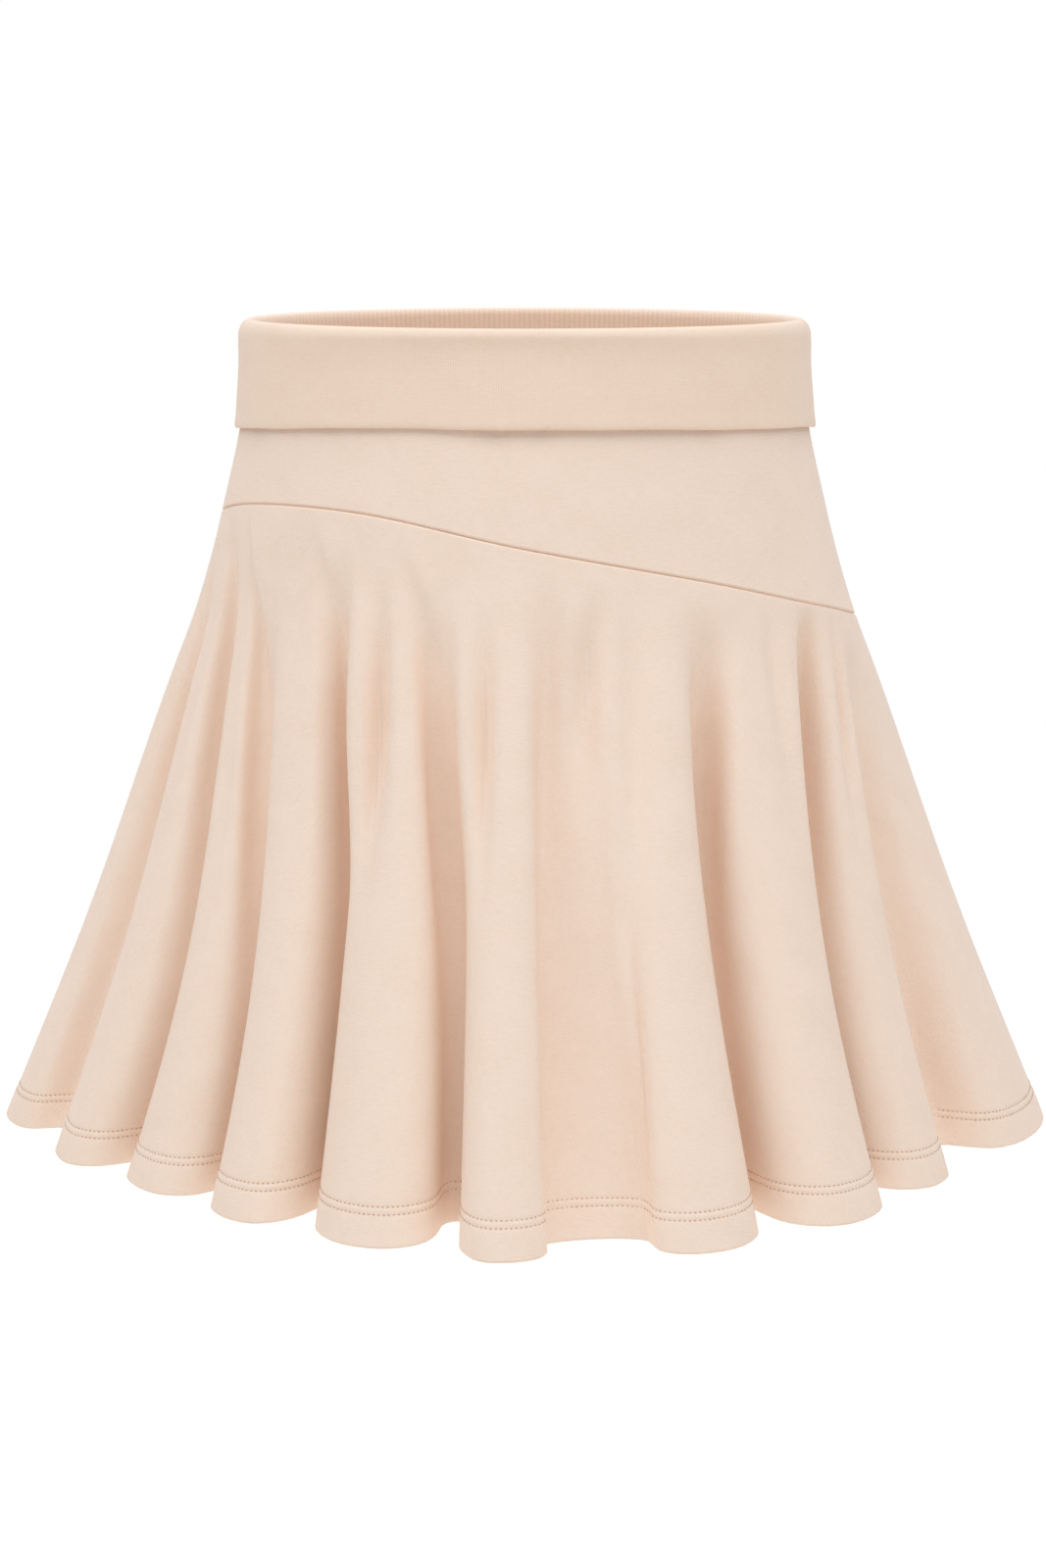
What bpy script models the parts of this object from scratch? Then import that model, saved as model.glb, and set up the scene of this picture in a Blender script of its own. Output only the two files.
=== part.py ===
"""A flared jersey mini skirt with a foldover waistband and a slanting hip seam.

Metres, +Z up, the front towards -Y and the wearer's right towards -X.
The origin is the middle of the waist, halfway down the inside of the
waistband, where the wearer's waist carries the skirt. Angles go round the
skirt in degrees: 0 is the centre front, 90 the +X side, 180 the centre back.
"""

import math
from collections import namedtuple

import bpy
import numpy as np

# Heights
RIM_Z = 0.025
SKIRT_LENGTH = 0.385
HEM_Z = RIM_Z - SKIRT_LENGTH
WAIST_SEAM_DROP = 0.040

# Cloth
JERSEY = 0.0013
BAND_DOUBLE = 0.0019
HEM_DOUBLE = 0.0026
HEM_DEPTH = 0.0195
HEM_STEP = 0.0015
SEAM_GAP = 0.0003

# The foldover flap, measured on the outside of the waistband's inner leg
FLAP_DROP_SIDE = 0.0507
FLAP_DROP_FRONT = 0.0431
FLAP_CLEARANCE = 0.0007
ROLL_RADIUS = 0.0034
SETTLE_DROP = 0.016
FLAP_SWELL = 0.0006
FLAP_EDGE_STEPS = 3
ROLL_STEPS = 5
LEG_STEPS = 2

# Mesh density
BAND_COLUMNS = 36
YOKE_COLUMNS = 36
YOKE_ROWS = 4
FLANK_SHARES = (0.0, 0.26, 0.50, 0.72, 0.87)
FALL_SHARES = (0.0, 0.07, 0.16, 0.28, 0.42, 0.57, 0.72, 0.85)

# The figure that fills the skirt: drop below the rim, then the ring's reach
Section = namedtuple("Section", "drop half_width front_depth back_depth")
SECTIONS = (
    Section(0.000, 0.1275, 0.0915, 0.0960),
    Section(0.050, 0.1328, 0.0965, 0.1030),
    Section(0.080, 0.1398, 0.1015, 0.1105),
    Section(0.108, 0.1470, 0.1065, 0.1175),
    Section(0.136, 0.1558, 0.1140, 0.1255),
    Section(0.165, 0.1672, 0.1235, 0.1350),
    Section(0.280, 0.2100, 0.1640, 0.1740),
    Section(0.385, 0.2540, 0.2040, 0.2150),
)

# The slanting seam between the yoke and the flared panels
SeamPoint = namedtuple("SeamPoint", "angle drop")
HIP_SEAM = (
    SeamPoint(-90, 0.0897),
    SeamPoint(-60, 0.0805),
    SeamPoint(-30, 0.0810),
    SeamPoint(0, 0.0945),
    SeamPoint(30, 0.1091),
    SeamPoint(60, 0.1256),
    SeamPoint(90, 0.1387),
    SeamPoint(135, 0.1470),
    SeamPoint(180, 0.1350),
    SeamPoint(225, 0.1090),
)

# Each fold is a crest and the valley after it, from the -X side round the front.
# Reaches are shares of the ring at the hem, start is the share of the fall above
# which the valley is still smooth, width is the valley's share of the span
# between crests, overhang leans its flanks over it, and bow is how far it bends
# round the skirt at mid fall.
Fold = namedtuple(
    "Fold",
    "crest_top crest_hem crest_reach "
    "valley_top valley_hem valley_reach start width overhang bow",
)
FOLDS = (
    Fold(-90, -90, 1.000, -82, -77.0, 0.860, 0.05, 0.34, 0.00, 0.0),
    Fold(-75, -67, 0.926, -70, -61.0, 0.775, 0.02, 0.28, 0.05, 2.5),
    Fold(-65, -50.3, 0.880, -60, -43.0, 0.735, 0.08, 0.26, 0.05, 1.0),
    Fold(-47, -33.0, 0.902, -38.2, -27.3, 0.685, 0.06, 0.24, 0.06, -1.0),
    Fold(-28, -16.3, 0.946, -18.5, -8.4, 0.760, 0.08, 0.29, 0.05, 1.0),
    Fold(-5, -3.0, 0.994, 9, 8.0, 0.866, 0.06, 0.52, 0.00, 0.0),
    Fold(22.5, 18.3, 0.987, 33.5, 28.8, 0.745, 0.04, 0.26, 0.06, 2.0),
    Fold(47, 36.6, 0.951, 58.5, 48.0, 0.725, 0.00, 0.24, 0.06, 0.8),
    Fold(67, 55.0, 0.908, 73.5, 64.5, 0.780, 0.03, 0.32, 0.03, 1.5),
    Fold(90, 90, 1.000, 102, 105, 0.870, 0.06, 0.34, 0.03, 0.0),
    Fold(113, 117, 0.975, 121, 126, 0.790, 0.04, 0.28, 0.05, -1.5),
    Fold(131, 136, 0.960, 140, 145.5, 0.755, 0.06, 0.26, 0.05, 1.0),
    Fold(150, 155, 0.970, 160, 163.5, 0.810, 0.08, 0.40, 0.00, 0.0),
    Fold(171, 173.5, 0.990, 182, 181.5, 0.750, 0.02, 0.25, 0.05, -0.5),
    Fold(193, 190.5, 0.990, 205, 200, 0.865, 0.08, 0.54, 0.00, 0.0),
    Fold(216, 209.5, 0.975, 225, 218, 0.755, 0.03, 0.26, 0.05, 1.0),
    Fold(233, 227, 0.955, 242, 236.5, 0.785, 0.06, 0.28, 0.05, -1.0),
    Fold(249, 246, 0.970, 258, 256.5, 0.855, 0.06, 0.32, 0.03, 0.0),
)
FRONT_FOLDS = 9

# The folds start softly at the seam and then deepen quickly. High up a fold is a
# broad crest and a soft narrow valley, and it turns into a round lobe with
# steep flanks between the two falls that end this list.
FOLD_GROWTH = 2.6
FOLD_ONSET = 0.035
FOLD_BOW = 4.0
LOBE_END = 0.50
FLANK_END = 0.72
LOBE_DEPTH = 0.45
VALLEY_DEPTH = 0.25
OVERHANG_START = 0.2
TOP_SHARPNESS = 0.70
FORMED_FROM = 0.05
FORMED_AT = 0.95

CLOTH_COLOUR = (0.80, 0.62, 0.50, 1.0)
BAND_COLOUR = (0.78, 0.60, 0.48, 1.0)
CLOTH_ROUGHNESS = 0.9
SHARP_EDGE = math.radians(55)


def clear_scene():
    for item in list(bpy.data.objects):
        bpy.data.objects.remove(item, do_unlink=True)


def make_material(name, colour):
    material = bpy.data.materials.new(name)
    material.use_nodes = True
    shader = material.node_tree.nodes["Principled BSDF"]
    shader.inputs["Base Color"].default_value = colour
    shader.inputs["Roughness"].default_value = CLOTH_ROUGHNESS
    shader.inputs["Metallic"].default_value = 0.0
    return material


def smooth_curve(x, knots, values, period=None):
    """Passes a smooth curve through (knots, values) and reads it at x."""
    knots = np.asarray(knots, float)
    values = np.asarray(values, float)
    if period is not None:
        knots = np.concatenate((knots[-2:] - period, knots, knots[:2] + period))
        values = np.concatenate((values[-2:], values, values[:2]))
        x = (np.asarray(x, float) - knots[2]) % period + knots[2]
    slopes = np.gradient(values, knots)
    i = np.clip(np.searchsorted(knots, x, side="right") - 1, 0, len(knots) - 2)
    width = knots[i + 1] - knots[i]
    s = (x - knots[i]) / width
    rise = s * s * (3 - 2 * s)
    bend_in = s * (1 - s) ** 2 * width * slopes[i]
    bend_out = s * s * (s - 1) * width * slopes[i + 1]
    return values[i] * (1 - rise) + values[i + 1] * rise + bend_in + bend_out


def figure_ring(angle, z, reach=1.0):
    """A point on the figure's ring at height z, angle in degrees."""
    drops = [row.drop for row in SECTIONS]
    drop = np.clip(RIM_Z - z, 0, SKIRT_LENGTH)
    half_width = smooth_curve(drop, drops, [row.half_width for row in SECTIONS])
    front = smooth_curve(drop, drops, [row.front_depth for row in SECTIONS])
    back = smooth_curve(drop, drops, [row.back_depth for row in SECTIONS])
    turn = np.radians(angle)
    depth = np.where(np.cos(turn) > 0, front, back)
    x = half_width * np.sin(turn) * reach
    y = -depth * np.cos(turn) * reach
    return np.stack(np.broadcast_arrays(x, y, z), axis=-1)


def hip_seam_z(angle):
    angles = [row.angle for row in HIP_SEAM]
    drops = [row.drop for row in HIP_SEAM]
    return RIM_Z - smooth_curve(angle, angles, drops, period=360)


def fold_section(q, width, overhang, fall):
    """Half a fold seen from above, q going from its crest to its valley.

    It returns the share of the way across and the share of the way inward. High
    up it is a broad crest and a soft narrow valley. Towards the hem it becomes a
    round lobe, a flank that runs straight in or leans over, and a round valley.
    """
    lobe = np.pi / 2 * np.clip(q / LOBE_END, 0, 1)
    flank = np.clip((q - LOBE_END) / (FLANK_END - LOBE_END), 0, 1)
    valley = np.pi / 2 * np.clip((q - FLANK_END) / (1 - FLANK_END), 0, 1)
    inward = LOBE_DEPTH * (1 - np.cos(lobe)) + VALLEY_DEPTH * np.sin(valley)
    inward = inward + (1 - LOBE_DEPTH - VALLEY_DEPTH) * flank
    across = (1 - width) * np.sin(lobe) + width * (1 - np.cos(valley))
    leaning = np.clip((q - OVERHANG_START) / (1 - OVERHANG_START), 0, 1)
    across = across + overhang * np.sin(np.pi * leaning) ** 2
    soft = ((1 - np.cos(np.pi * q)) / 2) ** (TOP_SHARPNESS / width)
    share = np.clip((fall - FORMED_FROM) / (FORMED_AT - FORMED_FROM), 0, 1)
    formed = share * share * (3 - 2 * share)
    return q + (across - q) * formed, soft + (inward - soft) * formed


def fold_state(place, fall):
    """The angle and the reach of the cloth at a place round the skirt.

    place counts crests: 0 is the first fold's crest, 0.5 its valley, 1 the
    next crest. fall is the share of the way from the hip seam to the hem.
    """
    count = len(FOLDS)
    turns = np.floor(place / count)
    inside = place - turns * count
    index = np.minimum(inside.astype(int), count - 1)
    along = inside - index

    def column(name, shift=0):
        values = np.array([getattr(row, name) for row in FOLDS], float)
        after = index + shift
        full_turn = 360.0 * (after // count) if name.startswith("crest_") else 0.0
        if name == "crest_reach":
            full_turn = 0.0
        return values[after % count] + full_turn

    def crest(name):
        return np.where(along < 0.5, column(name), column(name, 1))

    q = np.where(along < 0.5, 2 * along, 2 - 2 * along)
    across, inward = fold_section(q, column("width"), column("overhang"), fall)
    top_spread = column("valley_top") - crest("crest_top")
    hem_spread = column("valley_hem") - crest("crest_hem")
    top = crest("crest_top") + top_spread * across + 360 * turns
    hem = crest("crest_hem") + hem_spread * across + 360 * turns
    angle = top + (hem - top) * fall
    bow = column("bow") * across - FOLD_BOW * np.sin(np.radians(2 * angle))
    angle = angle + bow * 4 * fall * (1 - fall)
    start = column("start") * inward
    formed = np.clip((fall - start) / (1 - start), 0, 1)
    grown = formed * (1 + FOLD_GROWTH) / (1 + FOLD_GROWTH * formed)
    grown = grown * formed * (1 + FOLD_ONSET) / (formed + FOLD_ONSET)
    reach = crest("crest_reach") + (column("valley_reach") - crest("crest_reach")) * inward
    return angle, 1 - (1 - reach) * grown


def seam_angle(place):
    """The angle at which a place round the skirt meets the hip seam."""
    angle, _ = fold_state(place, np.zeros(np.shape(place)))
    return angle


def flare_point(place, fall):
    """A point on the outside of the flared panels, with their big folds."""
    place, fall = np.broadcast_arrays(np.asarray(place, float), np.asarray(fall, float))
    seam = hip_seam_z(seam_angle(place)) - SEAM_GAP
    angle, reach = fold_state(place, fall)
    return figure_ring(angle, seam + (HEM_Z - seam) * fall, reach)


def fall_length(place):
    """The length of cloth that one whole fall would have at the hem's rate."""
    end_share = 0.1
    end = flare_point(place, 1.0) - flare_point(place, 1 - end_share)
    return np.linalg.norm(end, axis=-1) / end_share


def yoke_point(angle, fall):
    """A point on the outside of the yoke, from the waist seam to the hip seam."""
    top = RIM_Z - WAIST_SEAM_DROP - SEAM_GAP
    return figure_ring(angle, top + (hip_seam_z(angle) - top) * fall)


def outward(surface, across, down):
    """The outward unit normal of a surface function at a grid of places."""
    step = 1e-4
    along = surface(across + step, down) - surface(across - step, down)
    high = np.maximum(down - step, 0)
    low = np.minimum(down + step, 1)
    fall = surface(across, low) - surface(across, high)
    normal = np.cross(fall, along)
    return normal / np.linalg.norm(normal, axis=-1, keepdims=True)


def mesh_object(name, points, faces, material):
    mesh = bpy.data.meshes.new(name)
    mesh.from_pydata(points.tolist(), [], faces)
    mesh.materials.append(material)
    mesh.shade_smooth()
    mesh.set_sharp_from_angle(angle=SHARP_EDGE)
    item = bpy.data.objects.new(name, mesh)
    bpy.context.collection.objects.link(item)
    return item


def wall_object(name, outer, inner, material):
    """Closes the space between two matching grids of points into one solid.

    Rows run down the cloth and columns run round it.
    """
    rows, columns = outer.shape[:2]
    points = np.concatenate((outer.reshape(-1, 3), inner.reshape(-1, 3)))
    shift = rows * columns

    def at(row, column):
        return row * columns + column

    faces = []
    for row in range(rows - 1):
        for column in range(columns - 1):
            quad = (
                at(row, column),
                at(row + 1, column),
                at(row + 1, column + 1),
                at(row, column + 1),
            )
            faces.append(quad)
            faces.append(tuple(corner + shift for corner in reversed(quad)))
    rim = [at(0, column) for column in range(columns)]
    rim += [at(row, columns - 1) for row in range(1, rows)]
    rim += [at(rows - 1, column) for column in range(columns - 2, -1, -1)]
    rim += [at(row, 0) for row in range(rows - 2, 0, -1)]
    for here, after in zip(rim, rim[1:] + rim[:1]):
        faces.append((here, after, after + shift, here + shift))

    return mesh_object(name, points, faces, material)


def part_at_side_seams(grid):
    """Moves a grid's first and last columns in, half a seam gap each."""
    grid = grid.copy()
    for edge, inside in ((0, 1), (-1, -2)):
        inward = grid[:, inside] - grid[:, edge]
        inward = inward / np.linalg.norm(inward, axis=-1, keepdims=True)
        grid[:, edge] += inward * SEAM_GAP / 2
    return grid


def flap_drop(angle):
    """How far the flap's folded edge hangs below the rim, higher at the front."""
    lift = np.clip(np.cos(np.radians(angle)), 0, 1)
    return FLAP_DROP_SIDE + (FLAP_DROP_FRONT - FLAP_DROP_SIDE) * lift


def band_profile(drop_to_edge):
    """The waistband's cross-section: (distance out from the inner leg, drop).

    The loop starts at the inner leg's lower edge outside, goes up, over the
    inside of the roll, down the flap's inside, round its folded edge and back
    over the roll to the inner leg's inside.
    """
    wall = BAND_DOUBLE
    bend = ROLL_RADIUS - wall
    edge = wall / 2
    loop = []
    for step in range(LEG_STEPS):
        share = step / LEG_STEPS
        loop.append((0.0, WAIST_SEAM_DROP + (SETTLE_DROP - WAIST_SEAM_DROP) * share))
    loop.append((0.0, SETTLE_DROP))
    for step in range(ROLL_STEPS + 1):
        turn = math.pi * step / ROLL_STEPS
        loop.append((bend - bend * math.cos(turn), ROLL_RADIUS - bend * math.sin(turn)))
    for step in range(1, LEG_STEPS + 1):
        share = step / LEG_STEPS
        drop = SETTLE_DROP + (drop_to_edge - edge - SETTLE_DROP) * share
        loop.append((FLAP_CLEARANCE, drop))
    for step in range(1, FLAP_EDGE_STEPS):
        turn = math.pi * step / FLAP_EDGE_STEPS
        out = FLAP_CLEARANCE + edge - edge * math.cos(turn)
        loop.append((out, drop_to_edge - edge + edge * math.sin(turn)))
    for step in range(LEG_STEPS):
        share = step / LEG_STEPS
        drop = drop_to_edge - edge + (SETTLE_DROP - drop_to_edge + edge) * share
        loop.append((FLAP_CLEARANCE + wall, drop))
    loop.append((FLAP_CLEARANCE + wall + FLAP_SWELL, SETTLE_DROP))
    for step in range(ROLL_STEPS + 1):
        turn = math.pi * step / ROLL_STEPS
        out = bend + ROLL_RADIUS * math.cos(turn)
        loop.append((out, ROLL_RADIUS - ROLL_RADIUS * math.sin(turn)))
    for step in range(LEG_STEPS + 1):
        share = step / LEG_STEPS
        drop = SETTLE_DROP + (WAIST_SEAM_DROP - SETTLE_DROP) * share
        loop.append((-wall, drop))
    return loop


def make_band(name, first, last, material):
    """Half of the foldover waistband: inner leg, roll and flap in one piece."""
    angles = np.linspace(first, last, BAND_COLUMNS + 1)
    loops = []
    for angle in angles:
        profile = np.array(band_profile(float(flap_drop(angle))))
        ring = figure_ring(angle, RIM_Z - profile[:, 1])
        behind, ahead = figure_ring(np.array((angle - 0.5, angle + 0.5)), 0.0)
        away = np.array((ahead[1] - behind[1], behind[0] - ahead[0], 0.0))
        loops.append(ring + away / np.linalg.norm(away) * profile[:, :1])
    grid = part_at_side_seams(np.stack(loops, axis=1))
    around, columns = grid.shape[:2]
    faces = []
    for k in range(around):
        here = k * columns
        after = (k + 1) % around * columns
        for column in range(columns - 1):
            faces.append(
                (here + column, here + column + 1, after + column + 1, after + column)
            )
    faces.append(tuple(k * columns for k in range(around)))
    faces.append(tuple(k * columns + columns - 1 for k in reversed(range(around))))
    return mesh_object(name, grid.reshape(-1, 3), faces, material)


def make_yoke(name, first, last, material):
    """The close-fitting hip piece between the waist seam and the slanting seam."""
    angles = np.linspace(first, last, YOKE_COLUMNS + 1)[None, :]
    falls = np.linspace(0, 1, YOKE_ROWS + 1)[:, None]
    angles, falls = np.broadcast_arrays(angles, falls)
    outer = yoke_point(angles, falls)
    inner = outer - JERSEY * outward(yoke_point, angles, falls)
    return wall_object(
        name, part_at_side_seams(outer), part_at_side_seams(inner), material
    )


def make_flare(name, first, last, material):
    """A flared panel: the cloth wall with its folds and its turned-up hem."""
    places = []
    for half in range(2 * first, 2 * last):
        places += [(half + share) / 2 for share in FLANK_SHARES]
    places.append(last)
    places = np.array(places, float)
    lengths = fall_length(places)
    rows = [np.full(len(places), share) for share in FALL_SHARES]
    rows += [1 - HEM_DEPTH / lengths, 1 - (HEM_DEPTH - HEM_STEP) / lengths]
    rows.append(np.ones(len(places)))
    falls = np.stack(rows)
    places = np.broadcast_to(places, falls.shape)
    outer = flare_point(places, falls)
    thickness = np.full(falls.shape, JERSEY)
    thickness[-2:] = HEM_DOUBLE
    inner = outer - thickness[..., None] * outward(flare_point, places, falls)
    seam_out = outward(yoke_point, seam_angle(places[0]), np.ones(places.shape[1]))
    inner[0] = outer[0] - JERSEY * seam_out
    return wall_object(
        name, part_at_side_seams(outer), part_at_side_seams(inner), material
    )


def build():
    clear_scene()
    jersey = make_material("jersey", CLOTH_COLOUR)
    band_jersey = make_material("band_jersey", BAND_COLOUR)
    make_band("waistband_front", -90, 90, band_jersey)
    make_band("waistband_back", 90, 270, band_jersey)
    make_yoke("yoke_front", -90, 90, jersey)
    make_yoke("yoke_back", 90, 270, jersey)
    make_flare("flare_front", 0, FRONT_FOLDS, jersey)
    make_flare("flare_back", FRONT_FOLDS, len(FOLDS), jersey)


build()
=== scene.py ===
# %% [markdown]
# A jersey mini skirt, dressed over its CAD solids
#
# The real skirt is sewn from six pieces of stretchy knitted cloth: a waistband
# that folds over itself, a close hip yoke and a flared skirt, each with a front
# and a back. The flare is cut as part of a wide ring, so its lower edge is far
# longer than its upper edge, and the spare width falls into deep soft folds.
#
# This lesson builds every piece as a thin shell worked out from the same few
# tables that shape the solids. The folds stay where the solids have them, and
# the finer things are added here: small creases, the turned hem, its stitches,
# the seam grooves and the knitted surface.

# %% Load the frame
import math
from collections import namedtuple

import bpy
import numpy as np
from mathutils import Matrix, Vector


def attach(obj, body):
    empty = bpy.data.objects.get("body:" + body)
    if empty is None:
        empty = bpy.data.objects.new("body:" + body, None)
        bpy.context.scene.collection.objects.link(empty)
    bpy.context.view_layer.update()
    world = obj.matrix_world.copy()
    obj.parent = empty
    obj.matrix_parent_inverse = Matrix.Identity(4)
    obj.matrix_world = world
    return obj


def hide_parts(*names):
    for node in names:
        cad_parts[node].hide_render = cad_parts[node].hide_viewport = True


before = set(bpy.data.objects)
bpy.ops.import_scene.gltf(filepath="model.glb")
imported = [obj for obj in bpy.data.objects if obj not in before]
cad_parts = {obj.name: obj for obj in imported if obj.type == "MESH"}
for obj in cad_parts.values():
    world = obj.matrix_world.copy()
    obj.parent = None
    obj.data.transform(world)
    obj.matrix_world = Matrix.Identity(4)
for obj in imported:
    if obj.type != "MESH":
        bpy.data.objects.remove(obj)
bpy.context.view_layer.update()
print("solids:", sorted(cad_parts))

# %% [markdown]
# Camera
#
# The photograph looks slightly down on the skirt from about a metre and a third
# away. A long lens keeps the hem only a little larger than the waist, and the
# tilt lets the inside of the back waistband show above the front one.

# %% Camera
PHOTO_HEIGHT = 1600
CAMERA_PLACE = (-0.0007, -1.35, 0.093)
CAMERA_DIP = 12.1
FOCAL_PIXELS = 2932
SENSOR = 36.0

camera_data = bpy.data.cameras.new("camera")
camera_data.sensor_width = SENSOR
camera_data.lens = SENSOR * FOCAL_PIXELS / PHOTO_HEIGHT
camera = bpy.data.objects.new("camera", camera_data)
camera.location = CAMERA_PLACE
camera.rotation_euler = (math.radians(90 - CAMERA_DIP), 0, 0)
bpy.context.collection.objects.link(camera)
bpy.context.scene.camera = camera
print("camera lens: %.1f mm" % camera_data.lens)

# %% [markdown]
# The figure inside the skirt
#
# A worn waist is an oval, not a circle. Each row of SECTIONS is one oval at a
# drop below the rim, and a smooth curve through the rows gives every height in
# between. The hip seam slants down towards the wearer's left, and it is a short
# table of angles and drops.

# %% Sizes and tables of the skirt
RIM_Z = 0.025
SKIRT_LENGTH = 0.385
HEM_Z = RIM_Z - SKIRT_LENGTH
WAIST_SEAM_DROP = 0.040
SEAM_GAP = 0.0003
JERSEY = 0.0013

Section = namedtuple("Section", "drop half_width front_depth back_depth")
SECTIONS = (
    Section(0.000, 0.1275, 0.0915, 0.0960),
    Section(0.050, 0.1328, 0.0965, 0.1030),
    Section(0.080, 0.1398, 0.1015, 0.1105),
    Section(0.108, 0.1470, 0.1065, 0.1175),
    Section(0.136, 0.1558, 0.1140, 0.1255),
    Section(0.165, 0.1672, 0.1235, 0.1350),
    Section(0.280, 0.2100, 0.1640, 0.1740),
    Section(0.385, 0.2540, 0.2040, 0.2150),
)

SeamPoint = namedtuple("SeamPoint", "angle drop")
HIP_SEAM = (
    SeamPoint(-90, 0.0897),
    SeamPoint(-60, 0.0805),
    SeamPoint(-30, 0.0810),
    SeamPoint(0, 0.0945),
    SeamPoint(30, 0.1091),
    SeamPoint(60, 0.1256),
    SeamPoint(90, 0.1387),
    SeamPoint(135, 0.1470),
    SeamPoint(180, 0.1350),
    SeamPoint(225, 0.1090),
)


def ease(share):
    """Eases a share from 0 to 1, with a flat start and a flat end."""
    return share * share * (3 - 2 * share)


def smooth_curve(x, knots, values, period=None):
    """Passes a smooth curve through (knots, values) and reads it at x."""
    knots = np.asarray(knots, float)
    values = np.asarray(values, float)
    if period is not None:
        knots = np.concatenate((knots[-2:] - period, knots, knots[:2] + period))
        values = np.concatenate((values[-2:], values, values[:2]))
        x = (np.asarray(x, float) - knots[2]) % period + knots[2]
    slopes = np.gradient(values, knots)
    i = np.clip(np.searchsorted(knots, x, side="right") - 1, 0, len(knots) - 2)
    width = knots[i + 1] - knots[i]
    s = (x - knots[i]) / width
    rise = ease(s)
    bend_in = s * (1 - s) ** 2 * width * slopes[i]
    bend_out = s * s * (s - 1) * width * slopes[i + 1]
    return values[i] * (1 - rise) + values[i + 1] * rise + bend_in + bend_out


def figure_ring(angle, z, reach=1.0):
    """A point on the figure's oval at height z, angle in degrees from the front."""
    drops = [row.drop for row in SECTIONS]
    drop = np.clip(RIM_Z - z, 0, SKIRT_LENGTH)
    half_width = smooth_curve(drop, drops, [row.half_width for row in SECTIONS])
    front = smooth_curve(drop, drops, [row.front_depth for row in SECTIONS])
    back = smooth_curve(drop, drops, [row.back_depth for row in SECTIONS])
    turn = np.radians(angle)
    depth = np.where(np.cos(turn) > 0, front, back)
    x = half_width * np.sin(turn) * reach
    y = -depth * np.cos(turn) * reach
    return np.stack(np.broadcast_arrays(x, y, z), axis=-1)


def hip_seam_z(angle):
    angles = [row.angle for row in HIP_SEAM]
    drops = [row.drop for row in HIP_SEAM]
    return RIM_Z - smooth_curve(angle, angles, drops, period=360)


seam_drops = [1000 * row.drop for row in HIP_SEAM]
print("hip seam drops from %.0f to %.0f mm" % (min(seam_drops), max(seam_drops)))

# %% [markdown]
# The big folds
#
# Every fold is a crest and the valley after it. The table names where both
# start under the hip seam, where they end at the hem, and how far out they
# reach there. Valleys are narrow and crests are broad and round, as they are
# in real falling cloth, and some flanks lean over the valley beside them.
# A cloth simulation would make folds too, but not these ones. The start is the
# share of the fall where a fold begins, and bow bends its way down, in degrees.

# %% Table of folds
Fold = namedtuple(
    "Fold",
    "crest_top crest_hem crest_reach "
    "valley_top valley_hem valley_reach start width overhang bow",
)
FOLDS = (
    Fold(-90, -90, 1.000, -82, -77.0, 0.860, 0.05, 0.34, 0.00, 0.0),
    Fold(-75, -67, 0.926, -70, -61.0, 0.775, 0.02, 0.28, 0.05, 2.5),
    Fold(-65, -50.3, 0.880, -60, -43.0, 0.735, 0.08, 0.26, 0.05, 1.0),
    Fold(-47, -33.0, 0.902, -38.2, -27.3, 0.685, 0.06, 0.24, 0.06, -1.0),
    Fold(-28, -16.3, 0.946, -18.5, -8.4, 0.760, 0.08, 0.29, 0.05, 1.0),
    Fold(-5, -3.0, 0.994, 9, 8.0, 0.866, 0.06, 0.52, 0.00, 0.0),
    Fold(22.5, 18.3, 0.987, 33.5, 28.8, 0.745, 0.04, 0.26, 0.06, 2.0),
    Fold(47, 36.6, 0.951, 58.5, 48.0, 0.725, 0.00, 0.24, 0.06, 0.8),
    Fold(67, 55.0, 0.908, 73.5, 64.5, 0.780, 0.03, 0.32, 0.03, 1.5),
    Fold(90, 90, 1.000, 102, 105, 0.870, 0.06, 0.34, 0.03, 0.0),
    Fold(113, 117, 0.975, 121, 126, 0.790, 0.04, 0.28, 0.05, -1.5),
    Fold(131, 136, 0.960, 140, 145.5, 0.755, 0.06, 0.26, 0.05, 1.0),
    Fold(150, 155, 0.970, 160, 163.5, 0.810, 0.08, 0.40, 0.00, 0.0),
    Fold(171, 173.5, 0.990, 182, 181.5, 0.750, 0.02, 0.25, 0.05, -0.5),
    Fold(193, 190.5, 0.990, 205, 200, 0.865, 0.08, 0.54, 0.00, 0.0),
    Fold(216, 209.5, 0.975, 225, 218, 0.755, 0.03, 0.26, 0.05, 1.0),
    Fold(233, 227, 0.955, 242, 236.5, 0.785, 0.06, 0.28, 0.05, -1.0),
    Fold(249, 246, 0.970, 258, 256.5, 0.855, 0.06, 0.32, 0.03, 0.0),
)
FRONT_FOLDS = 9
print("folds round the hem:", len(FOLDS))

# %% One fold seen from above
LOBE_END = 0.50
FLANK_END = 0.72
LOBE_DEPTH = 0.45
VALLEY_DEPTH = 0.25
OVERHANG_START = 0.2
TOP_SHARPNESS = 0.70
FORMED_FROM = 0.05
FORMED_AT = 0.95


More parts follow.
